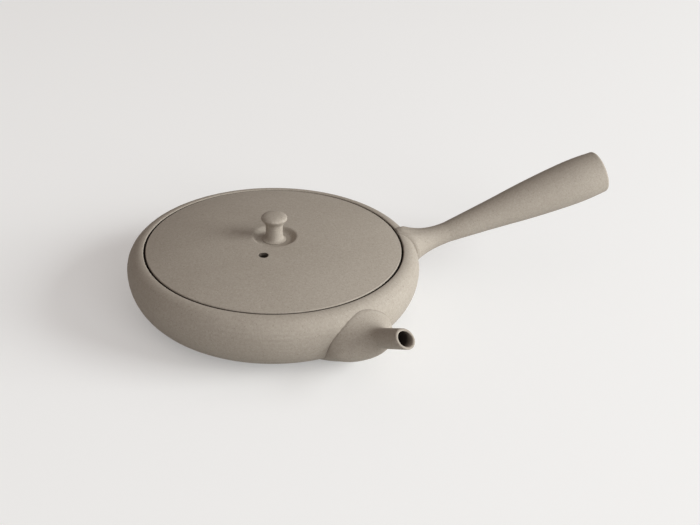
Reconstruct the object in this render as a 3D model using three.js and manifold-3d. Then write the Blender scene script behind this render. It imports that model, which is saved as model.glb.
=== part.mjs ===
// A flat side-handled kyusu of unglazed clay, in millimetres.
// The origin is the centre of the flat underside, +Z is up and +X runs along the handle in plan.
import * as THREE from "three";
import { mergeVertices } from "three/addons/utils/BufferGeometryUtils.js";
import Module from "manifold-3d";

// Pot: a low bowl with a rounded shoulder that rolls over to the mouth
const bellyRadius = 70;
const bellyHeight = 22;
const rimHeight = 31;
const mouthRadius = 62;
const rimEdge = 0.5;
const underCurve = 16;
const footRadius = 52;
const footHeight = 2.5;
const footEdge = 0.8;
const potWall = 3;
const floorThickness = 4.4;

// Gallery: the ledge inside the mouth that the lid sits on
const seatDepth = 2.9;
const ledgeWidth = 4;
const ledgeThickness = 2.4;

// Lid: flush with the rim, a little domed, with a turned dimple round the knob
const lidSideGap = 1;
const seatGap = 0.3;
const lidEdge = 0.5;
const lidDome = 5.4;
const domePower = 2.6;
const lidThickness = 3.2;
const flangeGap = 0.8;
const flangeThickness = 2.8;
const flangeDepth = 4;
const dimpleRadius = 11.2;
const dimpleDepth = 2;
const dimpleFloorRadius = 8.4;
const dimpleShoulder = 1;
const ventDiameter = 4;
const ventOffset = 19.4;
const ventAngle = -118.7;

// Knob: a thrown stem with a flat mushroom head
const knobHeight = 13.4;
const knobHeadRadius = 6.3;
const knobHeadThickness = 2.9;
const knobHeadEdge = 1.5;
const knobStemRadius = 4.05;
const knobFootRadius = 5.7;
const knobFootEdge = 0.6;

// Handle: a hollow trumpet, open at its far end
const handleSlopeAngle = 17;
const handleRootHeight = 21.4;
const handleLength = 105.5;
const handleRootRadius = 9.6;
const handleRootLift = 1.5;
const handleRootFlare = 2.6;
const handleNeckRadius = 5.1;
const handleNeckDistance = 20;
const handleSwellRadius = 11.2;
const handleSwellDistance = 90;
const handleEndRadius = 10.8;
const handleWall = 2.6;
const handleSolidRoot = 34;
const handleHollowRadius = 5;

// Spout: a short tube that swells into a broad root, fuller below than above
const spoutAngle = -69.3;
const spoutSlopeAngle = 27.3;
const spoutRootHeight = 15.8;
const spoutLength = 31.1;
const spoutRootReach = 3.1;
const spoutNeckDistance = 15.4;
const spoutRootWidth = 17.1;
const spoutRootTop = 17.8;
const spoutRootBottom = 9.8;
const spoutTopFullness = 1.38;
const spoutBottomFullness = 0.42;
const spoutTipRadius = 4.5;
const spoutTipWall = 1.2;
const spoutRootWall = 2.6;
const spoutTipCutAngle = 25;
const spoutClearance = 1.2;

// Strainer: a pierced clay dome over the hole behind the spout
const spoutHoleRadius = 8.5;
const strainerRimRadius = 12;
const strainerRise = 5.5;
const strainerThickness = 1.8;
const strainerLidGap = 0.8;
const strainerHoleDiameter = 1.6;
const strainerHolePitch = 2.9;

// Pieces that are luted together keep this hairline between them
const jointGap = 0.3;

// Facets round a turned piece
const wideFacets = 48;
const slimFacets = 24;
const pinFacets = 12;

const seatHeight = rimHeight - seatDepth;
const ledgeRadius = mouthRadius - ledgeWidth;
const lidRadius = mouthRadius - lidSideGap;
const flangeRadius = ledgeRadius - flangeGap;
const dimpleFloorHeight = rimHeight + lidDome - dimpleDepth;
const quarterTurn = Math.PI / 2;

const wasm = await Module();
wasm.setup();

// A closed three.js geometry as a manifold solid.
function solidOf(geometry) {
  const bare = geometry.index ? geometry.toNonIndexed() : geometry.clone();
  bare.deleteAttribute("normal");
  bare.deleteAttribute("uv");
  const merged = mergeVertices(bare, 1e-4);
  const mesh = new wasm.Mesh({
    numProp: 3,
    vertProperties: merged.attributes.position.array,
    triVerts: new Uint32Array(merged.index.array),
  });
  return new wasm.Manifold(mesh);
}

// A manifold solid as a three.js geometry.
function geometryOf(solid) {
  const mesh = solid.getMesh();
  const geometry = new THREE.BufferGeometry();
  geometry.setAttribute("position", new THREE.BufferAttribute(mesh.vertProperties, 3));
  geometry.setIndex(new THREE.BufferAttribute(mesh.triVerts, 1));
  geometry.computeVertexNormals();
  return geometry;
}

// An outline of radius and height turned round the Z axis, its faces pointing out.
function turned(path, facets, steps = 3) {
  const points = path.getPoints(steps);
  if (THREE.ShapeUtils.isClockWise(points)) points.reverse();
  return new THREE.LatheGeometry(points, facets).rotateX(quarterTurn);
}

// Moves a piece that was turned round Z onto an axis that leaves the belly at a given height.
function aim(geometry, angle, rise, rootHeight) {
  return geometry
    .rotateY(quarterTurn - THREE.MathUtils.degToRad(rise))
    .translate(bellyRadius, 0, rootHeight)
    .rotateZ(THREE.MathUtils.degToRad(angle));
}

// The pot's outer surface, from the axis underneath to the top of the shoulder.
function potOuter(grow) {
  const shoulderStart = mouthRadius + rimEdge;
  const lowerReach = bellyRadius - underCurve;
  return new THREE.Path()
    .moveTo(0, -grow)
    .lineTo(footRadius - footEdge, -grow)
    .absarc(footRadius - footEdge, footEdge, footEdge + grow, -quarterTurn, 0)
    .lineTo(footRadius + grow, footHeight - grow)
    .absellipse(
      lowerReach,
      bellyHeight,
      underCurve + grow,
      bellyHeight - footHeight + grow,
      -quarterTurn,
      0,
    )
    .absellipse(
      shoulderStart,
      bellyHeight,
      bellyRadius - shoulderStart + grow,
      rimHeight - bellyHeight + grow,
      0,
      quarterTurn,
    );
}

// The pot's hollow below the gallery, drawn from the ledge down to the floor.
function potInner(path, shrink) {
  const innerBelly = bellyRadius - potWall - shrink;
  const lowerReach = bellyRadius - underCurve;
  const ledgeBottom = seatHeight - ledgeThickness - shrink;
  const innerLedge = ledgeRadius - shrink;
  return path
    .lineTo(innerLedge, ledgeBottom)
    .absellipse(
      innerLedge,
      bellyHeight,
      innerBelly - innerLedge,
      ledgeBottom - bellyHeight,
      quarterTurn,
      0,
      true,
    )
    .absellipse(
      lowerReach,
      bellyHeight,
      innerBelly - lowerReach,
      bellyHeight - floorThickness - shrink,
      0,
      -quarterTurn,
      true,
    )
    .lineTo(0, floorThickness + shrink);
}

// The pot without its openings, filled up to the rim and grown by a gap all round.
function potEnvelope(gap) {
  return solidOf(turned(potOuter(gap).lineTo(0, rimHeight + gap), wideFacets));
}

// The space inside the pot that inner pieces may fill.
function potHollow(gap) {
  const outline = new THREE.Path().moveTo(0, seatHeight).lineTo(ledgeRadius - gap, seatHeight);
  return solidOf(turned(potInner(outline, gap), wideFacets));
}

// The room that the lid and its flange take inside the pot, grown by a gap all round.
function lidRoom(gap) {
  const bottom = seatHeight - flangeDepth - gap;
  const height = rimHeight - bottom;
  const plug = new THREE.CylinderGeometry(flangeRadius + gap, flangeRadius + gap, height, wideFacets);
  return solidOf(plug.rotateX(quarterTurn).translate(0, 0, bottom + height / 2));
}

// A round bar along the spout's axis, from inside the pot to its outer surface.
function spoutHole(radius) {
  const bar = new THREE.CylinderGeometry(radius, radius, spoutRootWidth * 2, slimFacets);
  return solidOf(aim(bar.rotateX(quarterTurn), spoutAngle, spoutSlopeAngle, spoutRootHeight));
}

function makePot() {
  const outline = potOuter(0)
    .absarc(mouthRadius + rimEdge, rimHeight - rimEdge, rimEdge, quarterTurn, Math.PI)
    .lineTo(mouthRadius, seatHeight)
    .lineTo(ledgeRadius, seatHeight);
  const bowl = solidOf(turned(potInner(outline, 0), wideFacets));
  return geometryOf(bowl.subtract(spoutHole(spoutHoleRadius)));
}

// A closed skin over rings of points, each ring running the same way round.
function loft(rings) {
  const count = rings[0].length;
  const points = rings.flat();
  const index = [];
  rings.slice(1).forEach((ring, i) => {
    for (let k = 0; k < count; k += 1) {
      const low = i * count + k;
      const lowNext = i * count + ((k + 1) % count);
      index.push(low, lowNext, lowNext + count, low, lowNext + count, low + count);
    }
  });
  const top = (rings.length - 1) * count;
  for (let k = 1; k < count - 1; k += 1) {
    index.push(0, k + 1, k, top, top + k, top + k + 1);
  }
  const geometry = new THREE.BufferGeometry().setFromPoints(points);
  geometry.setIndex(index);
  return geometry;
}

// One ring of the spout at a distance from the belly, smaller by a wall for the bore.
function spoutRing(distance, wallShare, cutShare) {
  const start = -spoutRootReach;
  const along = THREE.MathUtils.clamp((distance - start) / (spoutNeckDistance - start), 0, 1);
  const swell = (1 + Math.cos(Math.PI * along)) / 2;
  const wall = wallShare * THREE.MathUtils.lerp(spoutTipWall, spoutRootWall, swell);
  const half = (root, fullness) => spoutTipRadius + (root - spoutTipRadius) * swell ** fullness - wall;
  const width = half(spoutRootWidth, 1);
  const top = half(spoutRootTop, spoutTopFullness);
  const bottom = half(spoutRootBottom, spoutBottomFullness);
  const slant = Math.tan(THREE.MathUtils.degToRad(spoutTipCutAngle)) * cutShare;
  const ring = [];
  for (let k = 0; k < slimFacets; k += 1) {
    const turn = (2 * Math.PI * k) / slimFacets;
    const up = Math.sin(turn) * (Math.sin(turn) > 0 ? top : bottom);
    ring.push(new THREE.Vector3(-up, Math.cos(turn) * width, distance - up * slant));
  }
  return ring;
}

// The spout's outer form or its bore, from deep inside the pot to the slanted tip.
function spoutForm(wallShare, extra) {
  const steps = 12;
  const rings = [spoutRing(-spoutRootWidth - extra, wallShare, 0)];
  for (let i = 0; i <= steps; i += 1) {
    const share = i / steps;
    const distance = THREE.MathUtils.lerp(-spoutRootReach, spoutLength + extra, share);
    rings.push(spoutRing(distance, wallShare, share ** 3));
  }
  return solidOf(aim(loft(rings), spoutAngle, spoutSlopeAngle, spoutRootHeight));
}

function makeSpout() {
  const slab = new THREE.CylinderGeometry(bellyRadius * 2, bellyRadius * 2, rimHeight * 2, wideFacets);
  const overTable = solidOf(slab.rotateX(quarterTurn).translate(0, 0, rimHeight + spoutClearance));
  const spout = spoutForm(0, 0).subtract(spoutForm(1, spoutTipWall));
  return geometryOf(spout.intersect(overTable).subtract(potEnvelope(jointGap)));
}

function makeStrainer() {
  // The dome is a spherical cap, so its sphere follows from the rim and the rise.
  const sphere = (strainerRimRadius ** 2 + strainerRise ** 2) / (2 * strainerRise);
  const half = Math.asin(strainerRimRadius / sphere);
  const centre = sphere - strainerRise;
  const inner = sphere - strainerThickness;
  const skirt = potWall;
  const outline = new THREE.Path()
    .absarc(0, centre, sphere, -quarterTurn, half - quarterTurn)
    .lineTo(strainerRimRadius, skirt)
    .lineTo(strainerRimRadius - strainerThickness, skirt)
    .absarc(0, centre, inner, half - quarterTurn, -quarterTurn, true);
  const setBack = -potWall - skirt;
  const place = (geometry) =>
    solidOf(aim(geometry.translate(0, 0, setBack), spoutAngle, spoutSlopeAngle, spoutRootHeight));
  let dome = place(turned(outline, slimFacets, 3));
  const reach = Math.floor((strainerRimRadius * 0.7) / strainerHolePitch);
  for (let row = -reach; row <= reach; row += 1) {
    for (let column = -reach; column <= reach; column += 1) {
      const x = (column + (row % 2) / 2) * strainerHolePitch;
      const y = row * strainerHolePitch * Math.sin(Math.PI / 3);
      if (Math.hypot(x, y) > strainerRimRadius * 0.72) continue;
      const pin = new THREE.CylinderGeometry(
        strainerHoleDiameter / 2, strainerHoleDiameter / 2, strainerRimRadius * 2, 6,
      );
      dome = dome.subtract(place(pin.rotateX(quarterTurn).translate(x, y, 0)));
    }
  }
  return geometryOf(dome.intersect(potHollow(jointGap)).subtract(lidRoom(strainerLidGap)));
}

function makeHandle() {
  const lip = handleWall / 2;
  const inside = bellyRadius * 0.2;
  // The root widens towards the belly; from the neck the horn swells to its open end.
  const rootSteps = 5;
  const flare = (share) => new THREE.Vector2(
    handleNeckRadius + (handleRootRadius - handleNeckRadius) * (1 - share) ** handleRootFlare,
    handleNeckDistance * share,
  );
  const between = (share) => new THREE.Vector2(
    THREE.MathUtils.lerp(handleNeckRadius, handleSwellRadius, share),
    THREE.MathUtils.lerp(handleNeckDistance, handleSwellDistance, share),
  );
  const outline = new THREE.Path().moveTo(0, -inside).lineTo(handleRootRadius, -inside);
  for (let i = 0; i <= rootSteps; i += 1) {
    outline.lineTo(flare(i / rootSteps).x, flare(i / rootSteps).y);
  }
  const end = new THREE.Vector2(handleEndRadius, handleLength - lip);
  outline
    .splineThru([between(1 / 3), between(2 / 3), between(1), end])
    .absarc(handleEndRadius - lip, handleLength - lip, lip, 0, Math.PI)
    .lineTo(handleSwellRadius - handleWall, handleSwellDistance)
    .lineTo(handleHollowRadius, handleSolidRoot + handleHollowRadius)
    .lineTo(0, handleSolidRoot);
  const form = turned(outline, slimFacets, 3);
  // The root sits a little higher on the wall than the axis of the horn.
  const places = form.attributes.position;
  for (let i = 0; i < places.count; i += 1) {
    const share = THREE.MathUtils.clamp(1 - places.getZ(i) / handleNeckDistance, 0, 1);
    places.setX(i, places.getX(i) - handleRootLift * share ** 2);
  }
  const horn = solidOf(aim(form, 0, handleSlopeAngle, handleRootHeight));
  return geometryOf(horn.subtract(potEnvelope(jointGap)));
}

// Height of the lid's upper surface at a radius, flat in the middle and steeper near the edge.
function domeHeight(radius) {
  return rimHeight + lidDome * (1 - (radius / lidRadius) ** domePower);
}

function makeLid() {
  const steps = 9;
  const outline = new THREE.Path()
    .moveTo(0, dimpleFloorHeight)
    .lineTo(dimpleFloorRadius, dimpleFloorHeight);
  outline.quadraticCurveTo(
    (dimpleFloorRadius + dimpleRadius) / 2 + dimpleShoulder, dimpleFloorHeight,
    dimpleRadius, domeHeight(dimpleRadius),
  );
  const edgeStart = lidRadius - lidEdge;
  for (let i = 1; i <= steps; i += 1) {
    const radius = dimpleRadius + ((edgeStart - dimpleRadius) * i) / steps;
    outline.lineTo(radius, domeHeight(radius));
  }
  outline
    .lineTo(lidRadius, rimHeight - lidEdge)
    .lineTo(lidRadius, seatHeight + seatGap)
    .lineTo(flangeRadius, seatHeight + seatGap)
    .lineTo(flangeRadius, seatHeight - flangeDepth)
    .lineTo(flangeRadius - flangeThickness, seatHeight - flangeDepth);
  for (let i = 0; i <= steps; i += 1) {
    const radius = (flangeRadius - flangeThickness) * (1 - i / steps);
    outline.lineTo(radius, domeHeight(radius) - lidThickness - (radius < dimpleRadius ? dimpleDepth : 0));
  }
  const plate = solidOf(turned(outline, wideFacets, 4));
  const pin = new THREE.CylinderGeometry(ventDiameter / 2, ventDiameter / 2, rimHeight, pinFacets)
    .rotateX(quarterTurn)
    .translate(ventOffset, 0, rimHeight)
    .rotateZ(THREE.MathUtils.degToRad(ventAngle));
  return geometryOf(plate.subtract(solidOf(pin)));
}

function makeKnob() {
  const headBottom = knobHeight - knobHeadThickness;
  const outline = new THREE.Path()
    .moveTo(0, 0)
    .lineTo(knobFootRadius, 0)
    .bezierCurveTo(
      knobStemRadius, knobFootEdge,
      knobStemRadius, headBottom * 0.4,
      knobStemRadius, headBottom * 0.6,
    )
    .quadraticCurveTo(knobStemRadius, headBottom, knobHeadRadius - knobHeadEdge / 2, headBottom)
    .quadraticCurveTo(knobHeadRadius, headBottom, knobHeadRadius, headBottom + knobHeadEdge)
    .quadraticCurveTo(knobHeadRadius * 0.8, knobHeight, 0, knobHeight);
  return turned(outline, slimFacets, 4).translate(0, 0, dimpleFloorHeight + jointGap);
}

// One named mesh of fired clay.
function piece(name, geometry, colour) {
  const material = new THREE.MeshStandardMaterial({ color: colour, roughness: 0.85, metalness: 0 });
  const mesh = new THREE.Mesh(geometry, material);
  mesh.name = name;
  return mesh;
}

const clayGrey = 0xb5aa9c;
const clayWarm = 0xb8ac9d;

const pot = new THREE.Group();
pot.add(piece("pot", makePot(), clayGrey));
pot.add(piece("spout", makeSpout(), clayWarm));
pot.add(piece("strainer", makeStrainer(), clayGrey));
pot.add(piece("handle", makeHandle(), clayWarm));

const lid = new THREE.Group();
lid.add(piece("lid", makeLid(), clayGrey));
lid.add(piece("lid_knob", makeKnob(), clayWarm));

const kyusu = new THREE.Group();
kyusu.add(pot, lid);

export default kyusu;
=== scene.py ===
import math

import bmesh
import bpy
from mathutils import Matrix, Vector


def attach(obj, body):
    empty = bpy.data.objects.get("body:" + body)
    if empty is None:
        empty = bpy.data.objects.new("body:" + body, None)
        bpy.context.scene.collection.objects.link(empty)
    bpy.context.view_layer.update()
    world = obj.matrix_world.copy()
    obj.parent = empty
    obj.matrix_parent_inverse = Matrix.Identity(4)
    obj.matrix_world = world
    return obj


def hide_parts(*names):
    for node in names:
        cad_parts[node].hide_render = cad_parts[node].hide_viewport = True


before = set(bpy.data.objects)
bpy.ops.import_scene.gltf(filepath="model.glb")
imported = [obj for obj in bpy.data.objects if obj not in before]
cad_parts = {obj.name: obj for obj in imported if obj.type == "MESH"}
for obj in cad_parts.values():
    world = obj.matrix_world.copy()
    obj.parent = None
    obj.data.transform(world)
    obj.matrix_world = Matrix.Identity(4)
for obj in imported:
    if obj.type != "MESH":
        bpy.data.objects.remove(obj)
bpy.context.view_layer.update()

bl_info = {
    "name": "Side-handled kyusu",
    "version": (1, 0, 0),
    "blender": (4, 5, 0),
    "location": "View3D > Sidebar > Kyusu",
    "description": "Builds a flat side-handled kyusu of unglazed clay and its stage",
    "category": "Add Mesh",
}

MM = 0.001
TOP_FULLNESS = 1.38
BOTTOM_FULLNESS = 0.42
SIDE_BLEND = 1.4
LEAD_IN = -12 * MM
ROOT_FLARE = 2.6
# Painted shade along the crease where the spout and the handle meet the bowl: its width and strength.
CREASE_SHADE_WIDTH = 0.7 * MM
CREASE_PAINTED_SHADE = 0.3
RING_RELIEF = 0.08
SLACK = 0.05 * MM
SNUG = 0.2 * MM
# Painted shade on the bowl's inside below the lid's ledge.
INSIDE_PAINTED_SHADE = 0.2
LEDGE_ROUND = 0.4 * MM
FLANGE_ROUND = 0.5 * MM
HOLE_DEPTH = 6 * MM
HOLE_REACH = 14 * MM
# Depth over which painted shade deepens into the spout's bore.
BORE_FADE = 4 * MM
SPOUT_SINK = 0.8 * MM
BORE_SINK = 1.6 * MM
HANDLE_SINK = 1.0 * MM
TABLE_SOFTNESS = 0.5 * MM
TURNED_FACETS = 256
SPOUT_FACETS = 144
HANDLE_FACETS = 128
KNOB_FACETS = 96
HOLE_FACETS = 64
FLOOR_HALF = 15
SKY_COLOUR = (1.0, 0.9, 0.85)
SKY_STRENGTH = 0.34
DOME_POWER = 2.6


def length(label, text, millimetres):
    """A size in metres, shown in the scene's length unit."""
    return bpy.props.FloatProperty(
        name=label, description=text, default=millimetres * MM, unit="LENGTH", precision=5)


def turn(label, text, degrees):
    """An angle, shown in degrees."""
    return bpy.props.FloatProperty(
        name=label, description=text, default=math.radians(degrees), unit="ROTATION")


def share(label, text, value):
    """A plain number from 0 to 1."""
    return bpy.props.FloatProperty(name=label, description=text, default=value, min=0.0, max=1.0)


def tint(label, text, colour):
    """A colour in linear values."""
    return bpy.props.FloatVectorProperty(
        name=label, description=text, default=colour, size=3, subtype="COLOR", min=0.0, max=1.0)


class PotSizes(bpy.types.PropertyGroup):
    """Sizes of the thrown bowl."""
    belly_radius: length("Belly radius", "Widest radius of the bowl", 70)
    belly_height: length("Belly height", "Height of the widest ring", 22)
    rim_height: length("Rim height", "Height of the rim over the table", 31)
    mouth_radius: length("Mouth radius", "Radius of the mouth that the lid drops into", 62)
    rim_edge: length("Rim edge", "Rounding of the rim's inner edge", 0.5)
    under_curve: length("Under curve", "How far the lower curve draws in", 16)
    foot_radius: length("Foot radius", "Radius of the flat foot", 52)
    foot_height: length("Foot height", "Height of the foot's side", 2.5)
    foot_edge: length("Foot edge", "Rounding of the foot's lower edge", 0.8)
    wall: length("Wall", "Thickness of the wall", 3)
    floor: length("Floor", "Thickness of the floor", 4.4)
    seat_depth: length("Seat depth", "Depth of the lid's ledge below the rim", 2.9)
    ledge_width: length("Ledge width", "Width of the lid's ledge", 4)
    ledge_thickness: length("Ledge thickness", "Thickness of the lid's ledge", 2.4)
    ring_depth: length("Ring depth", "Depth of the throwing rings", 0.09)
    ring_pitch: length("Ring pitch", "Distance between throwing rings", 2.3)


class LidSizes(bpy.types.PropertyGroup):
    """Sizes of the lid and its knob."""
    side_gap: length("Side gap", "Gap between lid and mouth", 1)
    seat_gap: length("Seat gap", "Gap between lid and ledge", 0.3)
    edge: length("Edge", "Rounding of the lid's upper edge", 0.5)
    dome: length("Dome", "Height of the lid's middle over the rim", 5.4)
    thickness: length("Thickness", "Thickness of the lid's plate", 3.2)
    flange_gap: length("Flange gap", "Gap between flange and ledge", 0.8)
    flange_thickness: length("Flange thickness", "Thickness of the flange", 2.8)
    flange_depth: length("Flange depth", "Reach of the flange below the ledge", 4)
    dimple_radius: length("Dimple radius", "Radius of the dimple round the knob", 11)
    dimple_floor: length("Dimple floor", "Radius of the dimple's flat floor", 8.4)
    dimple_depth: length("Dimple depth", "Depth of the dimple", 2)
    vent_radius: length("Vent radius", "Radius of the vent hole", 2.3)
    vent_offset: length("Vent offset", "Distance of the vent hole from the middle", 19.4)
    vent_angle: turn("Vent angle", "Direction of the vent hole from the handle", -118.7)
    knob_height: length("Knob height", "Height of the knob over the dimple's floor", 13.4)
    knob_head: length("Knob head radius", "Radius of the knob's head", 6.2)
    knob_head_thickness: length("Knob head thickness", "Thickness of the knob's head", 3.2)
    knob_stem: length("Knob stem radius", "Radius of the knob's stem", 4.05)
    groove_pitch: length("Groove pitch", "Distance between the grooves of the knob's stem", 1.3)
    groove_depth: length("Groove depth", "Depth of the grooves of the knob's stem", 0.12)
    knob_foot: length("Knob foot radius", "Radius of the knob's flared foot", 5.7)


class HandleSizes(bpy.types.PropertyGroup):
    """Sizes of the hollow side handle."""
    rise: turn("Rise", "Slope of the handle's axis", 17)
    root_height: length("Root height", "Height at which the axis leaves the belly", 21.4)
    reach: length("Length", "Length from the belly to the end", 105.5)
    root_radius: length("Root radius", "Radius of the flared root", 9.6)
    root_lift: length("Root lift", "How far the root sits above the axis", 1.5)
    neck_radius: length("Neck radius", "Radius at the narrowest place", 5.1)
    neck_at: length("Neck place", "Distance of the neck from the belly", 20)
    swell_radius: length("Swell radius", "Radius at the widest place", 11.2)
    swell_at: length("Swell place", "Distance of the widest place from the belly", 90)
    end_radius: length("End radius", "Radius of the open end", 10.8)
    wall: length("Wall", "Thickness of the handle's wall", 2.6)
    solid_root: length("Solid root", "Distance at which the hollow begins", 34)
    hollow_radius: length("Hollow radius", "Radius at which the hollow begins", 5)


class SpoutSizes(bpy.types.PropertyGroup):
    """Sizes of the spout and the strainer behind it."""
    angle: turn("Angle", "Direction of the spout from the handle", -69.3)
    rise: turn("Rise", "Slope of the spout's axis", 27.3)
    root_height: length("Root height", "Height at which the axis leaves the belly", 15.8)
    reach: length("Length", "Length from the belly to the tip", 31.1)
    root_reach: length("Root reach", "How far inside the belly the root is widest", 3.1)
    neck_at: length("Neck place", "Distance from the belly at which the tube begins", 15.4)
    root_width: length("Root half width", "Half width of the root", 17.1)
    root_top: length("Root top", "Height of the root above the axis", 17.8)
    root_bottom: length("Root bottom", "Depth of the root below the axis", 9.8)
    clearance: length("Clearance", "Gap between the spout and the table", 1.2)
    tip_cut: turn("Tip cut", "Slant of the cut at the tip", 25)
    tip_radius: length("Tip radius", "Outer radius at the tip", 4.5)
    tip_wall: length("Tip wall", "Thickness of the wall at the tip", 1.2)
    root_wall: length("Root wall", "Thickness of the wall at the root", 2.6)
    hole_radius: length("Hole radius", "Radius of the hole in the pot's wall", 8.5)


class ClayFinish(bpy.types.PropertyGroup):
    """Colours and grain of the fired clay, and the colour of the painted shade in its gaps, bores and
    creases.
    """
    base: tint("Base colour", "Main colour of the clay", (0.39, 0.345, 0.29))
    pale: tint("Pale colour", "Colour of pale grains and worn edges", (0.50, 0.45, 0.39))
    dark: tint("Dark colour", "Colour of dark grains", (0.17, 0.135, 0.105))
    # Painted shade: the gaps, the vent, the spout's bore and the joint creases are darkened towards this
    # colour, where shade falls.
    shade_tint: tint("Painted shade", "Colour of the painted shade in gaps, bores and creases", (0.035, 0.025, 0.018))
    roughness: share("Roughness", "Roughness of the bare clay", 0.78)


class PhotoView(bpy.types.PropertyGroup):
    """The viewpoint and the studio."""
    place: bpy.props.FloatVectorProperty(
        name="Viewpoint", description="Place of the camera", size=3, subtype="XYZ", unit="LENGTH",
        default=(-0.1084, -0.45184, 0.28358))
    pitch: turn("Pitch", "How far the view looks down", 29.35)
    heading: turn("Heading", "Direction of the view in plan", -18)
    roll: turn("Roll", "Roll of the view", 2.01)
    lens: bpy.props.FloatProperty(name="Lens", description="Focal length in millimetres", default=56.57)
    floor: tint("Floor colour", "Colour of the floor", (0.67, 0.67, 0.665))
    floor_glow: tint("Floor glow", "Colour that lifts the floor in view", (1.0, 0.985, 0.97))
    glow_strength: share("Glow strength", "How far the floor is lifted in view", 0.29)


GROUPS = {
    "kyusu_pot": PotSizes,
    "kyusu_lid": LidSizes,
    "kyusu_handle": HandleSizes,
    "kyusu_spout": SpoutSizes,
    "kyusu_clay": ClayFinish,
    "kyusu_view": PhotoView,
}


def arc(centre, width, height, start, end, steps):
    """Points of an elliptical arc, angles in degrees from the outward direction."""
    points = []
    for i in range(steps + 1):
        a = math.radians(start + (end - start) * i / steps)
        points.append((centre[0] + width * math.cos(a), centre[1] + height * math.sin(a)))
    return points


def curve(stations, steps):
    """A smooth curve through a few stations of distance and radius."""
    points = []
    last = len(stations) - 1
    for i in range(last):
        p0 = Vector(stations[max(i - 1, 0)])
        p1 = Vector(stations[i])
        p2 = Vector(stations[i + 1])
        p3 = Vector(stations[min(i + 2, last)])
        for k in range(steps):
            t = k / steps
            a = 2 * p1
            b = (p2 - p0) * t
            c = (2 * p0 - 5 * p1 + 4 * p2 - p3) * t * t
            d = (3 * p1 - p0 - 3 * p2 + p3) * t ** 3
            points.append(tuple((a + b + c + d) / 2))
    points.append(tuple(stations[last]))
    return points


def revolve(profile, facets):
    """A closed surface turned round Z from points of radius and height, listed upwards outside."""
    bm = bmesh.new()
    rings = []
    for radius, height in profile:
        if radius < 1e-7:
            rings.append([bm.verts.new((0, 0, height))])
            continue
        ring = []
        for k in range(facets):
            a = 2 * math.pi * k / facets
            ring.append(bm.verts.new((radius * math.cos(a), radius * math.sin(a), height)))
        rings.append(ring)
    skin(bm, rings, facets)
    return bm


def skin(bm, rings, facets):
    """Joins neighbouring rings with faces; a ring of one vertex closes an end."""
    for low, high in zip(rings, rings[1:]):
        for k in range(facets):
            n = (k + 1) % facets
            if len(low) == 1 and len(high) == 1:
                continue
            if len(low) == 1:
                bm.faces.new((low[0], high[n], high[k]))
            elif len(high) == 1:
                bm.faces.new((low[k], low[n], high[0]))
            else:
                bm.faces.new((low[k], low[n], high[n], high[k]))


def finish_piece(name, bm, node, body, finish):
    """Turns a mesh into a piece that replaces a node and rides on a body."""
    bmesh.ops.recalc_face_normals(bm, faces=bm.faces)
    mesh = bpy.data.meshes.new(name)
    bm.to_mesh(mesh)
    bm.free()
    mesh.polygons.foreach_set("use_smooth", [True] * len(mesh.polygons))
    mesh.materials.append(finish)
    piece = bpy.data.objects.new(name, mesh)
    bpy.context.scene.collection.objects.link(piece)
    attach(piece, body)
    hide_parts(node)
    return piece


def carve(piece, cutter_mesh):
    """Cuts a mesh out of a piece."""
    cutter = bpy.data.objects.new("cutter", cutter_mesh)
    bpy.context.scene.collection.objects.link(cutter)
    cut = piece.modifiers.new("cut", "BOOLEAN")
    cut.operation = "DIFFERENCE"
    cut.solver = "EXACT"
    cut.object = cutter
    graph = bpy.context.evaluated_depsgraph_get()
    result = bpy.data.meshes.new_from_object(piece.evaluated_get(graph))
    piece.modifiers.remove(cut)
    old = piece.data
    piece.data = result
    bpy.data.meshes.remove(old)
    bpy.data.objects.remove(cutter)
    bpy.data.meshes.remove(cutter_mesh)
    piece.data.polygons.foreach_set("use_smooth", [True] * len(piece.data.polygons))


def paint_shade(piece, amount):
    """Notes on every face how much painted shade darkens it, from 0 to 1."""
    shade_marks = piece.data.attributes.new("painted_shade", "FLOAT", "FACE")
    for face in piece.data.polygons:
        shade_marks.data[face.index].value = min(max(amount(face), 0), 1)


def crease_shade(pot, point):
    """How far painted shade in the crease round a joined piece darkens a point close to the bowl's surface.
    """
    clear = max(-belly_depth(pot, point), 0)
    return CREASE_PAINTED_SHADE * (1 - clear / CREASE_SHADE_WIDTH)


def bar_mesh(radius, start, end, place, facets=HOLE_FACETS):
    """A round bar used for cutting a hole."""
    bm = revolve([(0, start), (radius, start), (radius, end), (0, end)], facets)
    bm.transform(place)
    bmesh.ops.recalc_face_normals(bm, faces=bm.faces)
    mesh = bpy.data.meshes.new("bar")
    bm.to_mesh(mesh)
    bm.free()
    return mesh


def axis_place(angle, rise, radius, height):
    """Where a piece turned round Z goes to leave the belly at an angle and a rise."""
    turned = Matrix.Rotation(angle, 4, "Z") @ Matrix.Translation((radius, 0, height))
    return turned @ Matrix.Rotation(math.pi / 2 - rise, 4, "Y")


def belly_depth(pot, point):
    """How deep a point lies inside the bowl's outer surface, in plan."""
    lower = point.z < pot.belly_height
    if lower:
        centre = pot.belly_radius - pot.under_curve
        width = pot.under_curve
        height = pot.belly_height - pot.foot_height
    else:
        centre = pot.mouth_radius + pot.rim_edge
        width = pot.belly_radius - centre
        height = pot.rim_height - pot.belly_height
    ratio = min(abs(point.z - pot.belly_height) / height, 1.0)
    radius = centre + width * math.sqrt(1 - ratio * ratio)
    return radius - math.hypot(point.x, point.y)


def root_distance(pot, point_at, sink):
    """Distance along an axis at which a surface lies sunk in the bowl by a given depth."""
    deep = -0.03
    clear = 0.015
    for _ in range(40):
        middle = (deep + clear) / 2
        if belly_depth(pot, point_at(middle)) > sink:
            deep = middle
        else:
            clear = middle
    return deep


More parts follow.
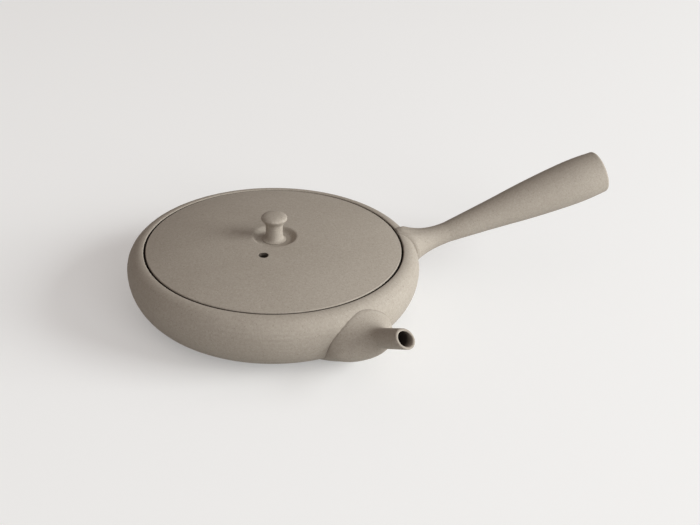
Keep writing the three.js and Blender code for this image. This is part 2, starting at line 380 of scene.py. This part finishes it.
def closed_columns(columns):
    """A surface over closed loops of points that stand side by side round an axis."""
    bm = bmesh.new()
    grid = [[bm.verts.new(p) for p in column] for column in columns]
    for k, here in enumerate(grid):
        there = grid[(k + 1) % len(grid)]
        for i in range(len(here)):
            n = (i + 1) % len(here)
            bm.faces.new((here[i], there[i], there[n], here[n]))
    return bm


def spout_point(spout, place, angle, distance, wall, inset=0.0):
    """A point of the spout's surface, or of its bore where wall is 1."""
    start = -spout.root_reach
    along = min(max((distance - start) / (spout.neck_at - start), 0), 1)
    swell = (1 + math.cos(math.pi * along)) / 2
    thickness = wall * (spout.tip_wall + (spout.root_wall - spout.tip_wall) * swell) + inset

    def half(root, fullness):
        return spout.tip_radius + (root - spout.tip_radius) * swell ** fullness - thickness

    above = half(spout.root_top, TOP_FULLNESS)
    below = half(spout.root_bottom, BOTTOM_FULLNESS)
    upper = min(max(math.sin(angle) / SIDE_BLEND + 0.5, 0), 1)
    up = math.sin(angle) * (below + (above - below) * upper * upper * (3 - 2 * upper))
    side = math.cos(angle) * half(spout.root_width, 1)
    share_out = min(max((distance + spout.root_reach) / (spout.reach + spout.root_reach), 0), 1)
    slant = math.tan(spout.tip_cut) * share_out ** 3
    point = place @ Vector((-up, side, distance - up * slant))
    over = (point.z - spout.clearance) / TABLE_SOFTNESS
    if over < 30:
        point.z = spout.clearance + TABLE_SOFTNESS * math.log1p(math.exp(over))
    return point


def clay_material(name, clay, ring_scale, centre=(0, 0, 0)):
    """Unglazed fired clay: fine grain, pale and dark specks, faint turning marks."""
    material = bpy.data.materials.new(name)
    material.use_nodes = True
    tree = material.node_tree
    nodes = tree.nodes
    links = tree.links
    shader = nodes["Principled BSDF"]
    shader.inputs["Specular IOR Level"].default_value = 0.28
    place = nodes.new("ShaderNodeTexCoord")

    def grain(scale, detail, rough):
        texture = nodes.new("ShaderNodeTexNoise")
        texture.inputs["Scale"].default_value = scale
        texture.inputs["Detail"].default_value = detail
        texture.inputs["Roughness"].default_value = rough
        links.new(place.outputs["Object"], texture.inputs["Vector"])
        return texture.outputs["Fac"]

    def band(value, low, high):
        ramp = nodes.new("ShaderNodeMapRange")
        ramp.inputs["From Min"].default_value = low
        ramp.inputs["From Max"].default_value = high
        links.new(value, ramp.inputs["Value"])
        return ramp.outputs["Result"]

    def blend(amount, first, second, strength=1.0):
        mix = nodes.new("ShaderNodeMix")
        mix.data_type = "RGBA"
        scaled = nodes.new("ShaderNodeMath")
        scaled.operation = "MULTIPLY"
        scaled.inputs[1].default_value = strength
        links.new(amount, scaled.inputs[0])
        links.new(scaled.outputs[0], mix.inputs["Factor"])
        for value, socket in ((first, mix.inputs[6]), (second, mix.inputs[7])):
            if isinstance(value, bpy.types.NodeSocket):
                links.new(value, socket)
            else:
                socket.default_value = (*value, 1)
        return mix.outputs[2]

    cloud = band(grain(28, 3, 0.6), 0.35, 0.7)
    fine = band(grain(900, 4, 0.75), 0.3, 0.7)
    dark_specks = band(grain(2100, 2, 0.5), 0.62, 0.72)
    pale_specks = band(grain(1500, 2, 0.5), 0.64, 0.74)
    colour = blend(cloud, clay.base, clay.pale, 0.22)
    colour = blend(fine, colour, clay.dark, 0.3)
    colour = blend(dark_specks, colour, clay.dark, 0.6)
    colour = blend(pale_specks, colour, clay.pale, 0.5)
    # Painted shade: each face is blended towards the dark shade colour by its painted shade amount.
    shade_amount = nodes.new("ShaderNodeAttribute")
    shade_amount.attribute_name = "painted_shade"
    colour = blend(shade_amount.outputs["Fac"], colour, clay.shade_tint, 0.9)
    links.new(colour, shader.inputs["Base Color"])

    rough = nodes.new("ShaderNodeMapRange")
    rough.inputs["To Min"].default_value = clay.roughness - 0.08
    rough.inputs["To Max"].default_value = clay.roughness + 0.1
    links.new(fine, rough.inputs["Value"])
    links.new(rough.outputs["Result"], shader.inputs["Roughness"])

    rings = nodes.new("ShaderNodeTexWave")
    rings.wave_type = "RINGS"
    rings.rings_direction = "Z"
    rings.inputs["Scale"].default_value = ring_scale
    rings.inputs["Distortion"].default_value = 0.6
    rings.inputs["Detail"].default_value = 2
    shift = nodes.new("ShaderNodeMapping")
    shift.inputs["Location"].default_value = tuple(-c for c in centre)
    links.new(place.outputs["Object"], shift.inputs["Vector"])
    links.new(shift.outputs["Vector"], rings.inputs["Vector"])
    relief = nodes.new("ShaderNodeMath")
    relief.operation = "MULTIPLY_ADD"
    relief.inputs[1].default_value = RING_RELIEF
    links.new(rings.outputs["Fac"], relief.inputs[0])
    links.new(grain(1300, 3, 0.7), relief.inputs[2])
    bump = nodes.new("ShaderNodeBump")
    bump.inputs["Strength"].default_value = 0.35
    bump.inputs["Distance"].default_value = 0.00025
    links.new(relief.outputs[0], bump.inputs["Height"])
    links.new(bump.outputs["Normal"], shader.inputs["Normal"])
    return material


def finish_for(name, ring_scale=120):
    """The clay material of that name, made once."""
    made = bpy.data.materials.get(name)
    return made or clay_material(name, bpy.context.scene.kyusu_clay, ring_scale)


class MakePot(bpy.types.Operator):
    """Builds the thrown bowl with its rim, ledge and foot"""
    bl_idname = "kyusu.make_pot"
    bl_label = "Make pot"

    def execute(self, context):
        pot = context.scene.kyusu_pot
        spout = context.scene.kyusu_spout
        shoulder = pot.mouth_radius + pot.rim_edge
        lower = pot.belly_radius - pot.under_curve
        seat = pot.rim_height - pot.seat_depth
        ledge = pot.mouth_radius - pot.ledge_width
        ledge_bottom = seat - pot.ledge_thickness
        mouth = pot.mouth_radius
        inner_belly = pot.belly_radius - pot.wall
        foot_in = pot.foot_radius - pot.foot_edge
        under = pot.belly_height - pot.foot_height
        outer = arc((lower, pot.belly_height), pot.under_curve, under, -90, 0, 60)
        outer += arc((shoulder, pot.belly_height), pot.belly_radius - shoulder,
                     pot.rim_height - pot.belly_height, 0, 90, 48)[1:]
        ringed = []
        for radius, height in outer:
            wave = 0.5 - 0.5 * math.cos(2 * math.pi * height / pot.ring_pitch)
            fade = min(1, (height - pot.foot_height) / (3 * MM), (pot.rim_height - height) / (2 * MM))
            ringed.append((radius - pot.ring_depth * wave * fade, height))
        profile = [(0, 0), (foot_in * 0.5, 0)]
        profile += arc((foot_in, pot.foot_edge), pot.foot_edge, pot.foot_edge, -90, 0, 6)
        profile += [(pot.foot_radius, pot.foot_height * 0.9)] + ringed
        profile += arc((shoulder, pot.rim_height - pot.rim_edge), pot.rim_edge, pot.rim_edge, 90, 180, 6)[1:]
        profile += [(mouth, seat + SNUG), (mouth - SNUG, seat)]
        profile += arc((ledge + LEDGE_ROUND, seat - LEDGE_ROUND), LEDGE_ROUND, LEDGE_ROUND, 90, 180, 4)
        profile += arc((ledge, pot.belly_height), inner_belly - ledge,
                       ledge_bottom - pot.belly_height, 90, 0, 24)
        profile += arc((lower, pot.belly_height), inner_belly - lower,
                       pot.belly_height - pot.floor, 0, -90, 32)[1:]
        profile += [(lower * 0.5, pot.floor), (0, pot.floor)]
        bm = revolve(profile, TURNED_FACETS)
        piece = finish_piece("bowl", bm, "pot", "pot", finish_for("bare_clay_bowl"))
        place = axis_place(spout.angle, spout.rise, pot.belly_radius, spout.root_height)
        carve(piece, bar_mesh(spout.hole_radius, -HOLE_DEPTH, HOLE_REACH, place))

        # Painted shade in the gap between lid and mouth: darker down the mouth's wall, with a light painted
        # shade over the whole inside.
        def mouth_shade(face):
            if math.hypot(face.center.x, face.center.y) > mouth + SNUG / 2:
                return 0
            if face.center.z < seat - SNUG:
                return INSIDE_PAINTED_SHADE
            return (pot.rim_height - pot.rim_edge - face.center.z) / pot.rim_edge

        paint_shade(piece, mouth_shade)
        return {"FINISHED"}


class MakeSpout(bpy.types.Operator):
    """Builds the flared spout with its open bore"""
    bl_idname = "kyusu.make_spout"
    bl_label = "Make spout"

    def execute(self, context):
        pot = context.scene.kyusu_pot
        spout = context.scene.kyusu_spout
        place = axis_place(spout.angle, spout.rise, pot.belly_radius, spout.root_height)
        lip = spout.tip_wall / 2
        end = spout.reach - lip
        steps = 56
        lead = 8
        columns = []
        for k in range(SPOUT_FACETS):
            angle = 2 * math.pi * k / SPOUT_FACETS
            outer_root = root_distance(pot, lambda d: spout_point(spout, place, angle, d, 0), SPOUT_SINK)
            bore_root = root_distance(pot, lambda d: spout_point(spout, place, angle, d, 1), BORE_SINK)
            lead_end = max(outer_root + lip / 2, LEAD_IN)
            column = []
            for i in range(lead):
                distance = outer_root + (lead_end - outer_root) * i / lead
                column.append(spout_point(spout, place, angle, distance, 0))
            for i in range(steps + 1):
                column.append(spout_point(spout, place, angle, lead_end + (end - lead_end) * i / steps, 0))
            for i in range(1, 8):
                turn_in = math.pi * i / 8
                inset = lip * (1 - math.cos(turn_in))
                column.append(spout_point(spout, place, angle, end + lip * math.sin(turn_in), 0, inset))
            for i in range(steps + 1):
                column.append(spout_point(spout, place, angle, end + (bore_root - end) * i / steps, 1))
            columns.append(column)
        bm = closed_columns(columns)
        piece = finish_piece("spout_tube", bm, "spout", "pot", finish_for("bare_clay_spout"))
        back = place.inverted()
        first_bore = len(columns[0]) - steps - 1

        # Painted shade: the bore darkens with depth from the tip, and the outside darkens in the crease at
        # the bowl.
        def bore_shade(face):
            depth = spout.reach - (back @ face.center).z
            if face.index % len(columns[0]) >= first_bore:
                return depth / BORE_FADE
            return crease_shade(pot, face.center)

        paint_shade(piece, bore_shade)
        return {"FINISHED"}


class MakeHandle(bpy.types.Operator):
    """Builds the hollow trumpet handle"""
    bl_idname = "kyusu.make_handle"
    bl_label = "Make handle"

    def execute(self, context):
        pot = context.scene.kyusu_pot
        handle = context.scene.kyusu_handle
        lip = handle.wall / 2
        neck = handle.neck_radius
        swell = handle.swell_radius
        run = handle.swell_at - handle.neck_at
        outside = []
        for i in range(24):
            s = -pot.wall + (handle.neck_at + pot.wall) * i / 24
            widened = (handle.root_radius - neck) * (1 - max(s, 0) / handle.neck_at) ** ROOT_FLARE
            outside.append((s, neck + widened))
        outside += curve([
            (handle.neck_at, neck),
            (handle.neck_at + run / 3, neck + (swell - neck) * 0.36),
            (handle.neck_at + run * 2 / 3, neck + (swell - neck) * 0.76),
            (handle.swell_at, swell),
            (handle.reach - lip, handle.end_radius - SLACK),
        ], 16)
        centre = handle.reach - lip - SLACK
        outside += [(centre + lip * math.sin(a), handle.end_radius - SLACK - lip + lip * math.cos(a))
                    for a in (0.3, 0.6, 0.9, 1.2, math.pi / 2)]
        inner_end = handle.end_radius - handle.wall
        hollow = handle.hollow_radius
        inside_shape = [(handle.solid_root, 0), (handle.solid_root + 0.6 * MM, hollow * 0.4),
                        (handle.solid_root + hollow, hollow),
                        (handle.swell_at, swell - handle.wall), (centre, inner_end)]
        inside = curve(inside_shape, 10)
        inside += [(centre + lip * math.sin(a), inner_end + lip - lip * math.cos(a)) for a in (0.4, 0.8, 1.2)]
        place = axis_place(0, handle.rise, pot.belly_radius, handle.root_height)
        bm = handle_mesh(pot, handle, place, outside, inside, HANDLE_FACETS)
        clay = finish_for("bare_clay_handle")
        piece = finish_piece("handle_horn", bm, "handle", "pot", clay)
        # Painted shade in the crease where the handle meets the bowl.
        paint_shade(piece, lambda face: crease_shade(pot, face.center))
        return {"FINISHED"}


def handle_mesh(pot, handle, place, outside, inside, facets):
    """A horn that is solid at its root, where it follows the bowl, and hollow at its end."""
    bm = bmesh.new()
    first = outside[0][0]
    last = outside[-1][0]
    rings = [[] for _ in range(len(outside) + len(inside) - 1)]

    def at(across, radius, s):
        lift = handle.root_lift * max(0, 1 - s / handle.neck_at) ** 2
        return place @ (across * radius + Vector((-lift, 0, s)))

    for k in range(facets):
        a = 2 * math.pi * k / facets
        across = Vector((math.cos(a), math.sin(a), 0))
        start = root_distance(pot, lambda d: at(across, outside[0][1], d), HANDLE_SINK)
        for i, (s, radius) in enumerate(outside):
            fade = (1 - (s - first) / (last - first)) ** 8
            rings[i].append(bm.verts.new(at(across, radius, s + (start - first) * fade)))
        for i, (s, radius) in enumerate(reversed(inside[1:])):
            rings[len(outside) + i].append(bm.verts.new(at(across, radius, s)))
    rings[-1] = [bm.verts.new(place @ Vector((0, 0, inside[0][0])))]
    skin(bm, rings, facets)
    root = bm.verts.new(sum((v.co for v in rings[0]), Vector()) / facets)
    for k in range(facets):
        bm.faces.new((rings[0][(k + 1) % facets], rings[0][k], root))
    return bm


def lid_height(pot, lid, radius):
    """Height of the lid's upper surface, flat in the middle and steeper near the edge."""
    reach = pot.mouth_radius - lid.side_gap
    return pot.rim_height + lid.dome * (1 - (radius / reach) ** DOME_POWER)


class MakeLid(bpy.types.Operator):
    """Builds the flush lid with its dimple, vent hole and flange"""
    bl_idname = "kyusu.make_lid"
    bl_label = "Make lid"

    def execute(self, context):
        pot = context.scene.kyusu_pot
        lid = context.scene.kyusu_lid
        reach = pot.mouth_radius - lid.side_gap
        seat = pot.rim_height - pot.seat_depth
        flange = pot.mouth_radius - pot.ledge_width - lid.flange_gap
        flange_in = flange - lid.flange_thickness
        bottom = seat - lid.flange_depth
        floor = pot.rim_height + lid.dome - lid.dimple_depth
        edge_start = reach - lid.edge
        top = [(0, floor), (lid.dimple_floor * 0.6, floor), (lid.dimple_floor, floor + 0.1 * MM)]
        for i in range(1, 9):
            t = i / 8
            radius = lid.dimple_floor + (lid.dimple_radius - lid.dimple_floor) * t
            rise = t * t * (3 - 2 * t)
            top.append((radius, floor + 0.1 * MM + (lid_height(pot, lid, radius) - floor - 0.1 * MM) * rise))
        for i in range(1, 61):
            radius = lid.dimple_radius + (edge_start - lid.dimple_radius) * i / 60
            top.append((radius, lid_height(pot, lid, radius)))
        edge_top = lid_height(pot, lid, edge_start)
        drop = edge_top - (pot.rim_height - lid.edge)
        top += arc((edge_start, pot.rim_height - lid.edge), lid.edge, drop, 90, 0, 8)[1:]
        under = [(reach, seat + lid.seat_gap + 0.3 * MM), (reach - 0.3 * MM, seat + lid.seat_gap)]
        under += [(flange, seat + lid.seat_gap), (flange, bottom + FLANGE_ROUND)]
        under += [(flange - FLANGE_ROUND, bottom), (flange_in + FLANGE_ROUND, bottom)]
        under += [(flange_in, bottom + FLANGE_ROUND)]
        for i in range(25):
            radius = flange_in * (1 - i / 24)
            dip = lid.dimple_depth if radius < lid.dimple_radius else 0
            under.append((radius, lid_height(pot, lid, radius) - lid.thickness - dip))
        profile = (top + under)[::-1]
        bm = revolve(profile, TURNED_FACETS)
        piece = finish_piece("lid_plate", bm, "lid", "lid", finish_for("bare_clay_lid"))
        vent = Matrix.Rotation(lid.vent_angle, 4, "Z") @ Matrix.Translation((lid.vent_offset, 0, 0))
        carve(piece, bar_mesh(lid.vent_radius, bottom, pot.rim_height + 2 * lid.dome, vent))
        hole = vent @ Vector((0, 0, 0))

        # Painted shade in the vent hole and down the lid's edge in the gap to the mouth.
        def gap_shade(face):
            place = face.center
            if math.hypot(place.x - hole.x, place.y - hole.y) < lid.vent_radius + 0.02 * MM:
                return 1
            if math.hypot(place.x, place.y) > reach - 0.05 * MM:
                return (pot.rim_height - lid.edge * 0.7 - place.z) / (0.4 * MM)
            return 0

        paint_shade(piece, gap_shade)
        return {"FINISHED"}


class MakeKnob(bpy.types.Operator):
    """Builds the small thrown knob"""
    bl_idname = "kyusu.make_knob"
    bl_label = "Make knob"

    def execute(self, context):
        pot = context.scene.kyusu_pot
        lid = context.scene.kyusu_lid
        head_bottom = lid.knob_height - lid.knob_head_thickness
        stations = [
            (lid.knob_foot, 0.25 * MM),
            (lid.knob_stem * 1.08, 1.6 * MM),
            (lid.knob_stem, head_bottom * 0.5),
            (lid.knob_stem * 1.08, head_bottom * 0.82),
            (lid.knob_head * 0.93, head_bottom + 0.3 * MM),
            (lid.knob_head, head_bottom + 1.3 * MM),
            (lid.knob_head * 0.86, lid.knob_height - 0.8 * MM),
            (lid.knob_head * 0.5, lid.knob_height - 0.15 * MM),
            (0, lid.knob_height),
        ]
        profile = [(0, 0), (lid.knob_foot - 0.2 * MM, 0)]
        for radius, height in curve(stations, 12):
            on_stem = max(0, math.sin(math.pi * min(max(height / head_bottom - 0.3, 0) / 0.7, 1)))
            groove = 0.5 - 0.5 * math.cos(2 * math.pi * height / lid.groove_pitch)
            profile.append((radius - lid.groove_depth * groove * on_stem, height))
        bm = revolve(profile, KNOB_FACETS)
        bm.transform(Matrix.Translation((0, 0, pot.rim_height + lid.dome - lid.dimple_depth)))
        finish_piece("knob", bm, "lid_knob", "lid", finish_for("bare_clay_knob"))
        return {"FINISHED"}


class DressStrainer(bpy.types.Operator):
    """Gives the pierced strainer its clay"""
    bl_idname = "kyusu.dress_strainer"
    bl_label = "Dress strainer"

    def execute(self, context):
        strainer = bpy.data.objects["strainer"]
        for slot in strainer.material_slots:
            slot.material = finish_for("bare_clay_strainer")
        return {"FINISHED"}


def paper_material(view):
    """Pale paper that looks near white to the camera and still keeps the shadow."""
    paper = bpy.data.materials.new("floor_paper")
    paper.use_nodes = True
    nodes = paper.node_tree.nodes
    links = paper.node_tree.links
    shader = nodes["Principled BSDF"]
    shader.inputs["Base Color"].default_value = (*view.floor, 1)
    shader.inputs["Roughness"].default_value = 0.9
    shader.inputs["Specular IOR Level"].default_value = 0.1
    shader.inputs["Emission Color"].default_value = (*view.floor_glow, 1)
    rays = nodes.new("ShaderNodeLightPath")
    seen = rays.outputs["Is Camera Ray"]
    for kind in ("Is Glossy Ray", "Is Transmission Ray"):
        either = nodes.new("ShaderNodeMath")
        either.operation = "MAXIMUM"
        links.new(seen, either.inputs[0])
        links.new(rays.outputs[kind], either.inputs[1])
        seen = either.outputs[0]
    glow = nodes.new("ShaderNodeMath")
    glow.operation = "MULTIPLY"
    glow.inputs[1].default_value = view.glow_strength
    links.new(seen, glow.inputs[0])
    links.new(glow.outputs[0], shader.inputs["Emission Strength"])
    return paper


class MakeStage(bpy.types.Operator):
    """Sets the pale floor, the soft lamps and the camera"""
    bl_idname = "kyusu.make_stage"
    bl_label = "Make stage"

    def execute(self, context):
        view = context.scene.kyusu_view
        camera = bpy.data.objects.new("view", bpy.data.cameras.new("view"))
        context.scene.collection.objects.link(camera)
        camera.data.lens = view.lens
        camera.data.sensor_width = 36
        camera.data.clip_start = 0.01
        camera.matrix_world = (
            Matrix.Translation(view.place) @ Matrix.Rotation(view.heading, 4, "Z")
            @ Matrix.Rotation(math.pi / 2 - view.pitch, 4, "X") @ Matrix.Rotation(view.roll, 4, "Z"))
        context.scene.camera = camera
        context.scene.view_settings.view_transform = "Standard"

        bm = bmesh.new()
        bmesh.ops.create_grid(bm, x_segments=2, y_segments=2, size=FLOOR_HALF)
        mesh = bpy.data.meshes.new("floor")
        bm.to_mesh(mesh)
        bm.free()
        floor = bpy.data.objects.new("floor", mesh)
        context.scene.collection.objects.link(floor)
        mesh.materials.append(paper_material(view))

        world = bpy.data.worlds.new("studio")
        context.scene.world = world
        world.use_nodes = True
        background = world.node_tree.nodes["Background"]
        background.inputs["Color"].default_value = (*SKY_COLOUR, 1)
        background.inputs["Strength"].default_value = SKY_STRENGTH

        def lamp(name, place, size, power, colour):
            data = bpy.data.lights.new(name, "AREA")
            data.size = size
            data.energy = power
            data.color = colour
            light = bpy.data.objects.new(name, data)
            light.location = place
            light.rotation_euler = (Vector((0, 0, 0)) - Vector(place)).to_track_quat("-Z", "Y").to_euler()
            context.scene.collection.objects.link(light)

        lamp("key", (2.5, -1.25, 1.03), 1.7, 105, (0.95, 0.99, 1.0))
        lamp("fill", (0.72, -2.5, 1.1), 1.6, 25, (0.95, 0.98, 1.0))
        return {"FINISHED"}


class KyusuPanel(bpy.types.Panel):
    """Lists the sizes and the operators of the kyusu"""
    bl_idname = "VIEW3D_PT_kyusu"
    bl_label = "Kyusu"
    bl_space_type = "VIEW_3D"
    bl_region_type = "UI"
    bl_category = "Kyusu"

    def draw(self, context):
        for operator in OPERATORS:
            self.layout.operator(operator.bl_idname)
        for name, group in GROUPS.items():
            box = self.layout.box()
            box.label(text=group.__doc__)
            for field in group.__annotations__:
                box.prop(getattr(context.scene, name), field)


OPERATORS = [MakePot, MakeSpout, MakeHandle, MakeLid, MakeKnob, DressStrainer, MakeStage]


def register():
    for group in GROUPS.values():
        bpy.utils.register_class(group)
    for name, group in GROUPS.items():
        setattr(bpy.types.Scene, name, bpy.props.PointerProperty(type=group))
    for operator in OPERATORS:
        bpy.utils.register_class(operator)
    bpy.utils.register_class(KyusuPanel)


def unregister():
    bpy.utils.unregister_class(KyusuPanel)
    for operator in reversed(OPERATORS):
        bpy.utils.unregister_class(operator)
    for name, group in GROUPS.items():
        delattr(bpy.types.Scene, name)
        bpy.utils.unregister_class(group)


def main():
    register()
    bpy.ops.kyusu.make_pot()
    bpy.ops.kyusu.make_spout()
    bpy.ops.kyusu.make_handle()
    bpy.ops.kyusu.make_lid()
    bpy.ops.kyusu.make_knob()
    bpy.ops.kyusu.dress_strainer()
    bpy.ops.kyusu.make_stage()


if __name__ == "__main__":
    main()
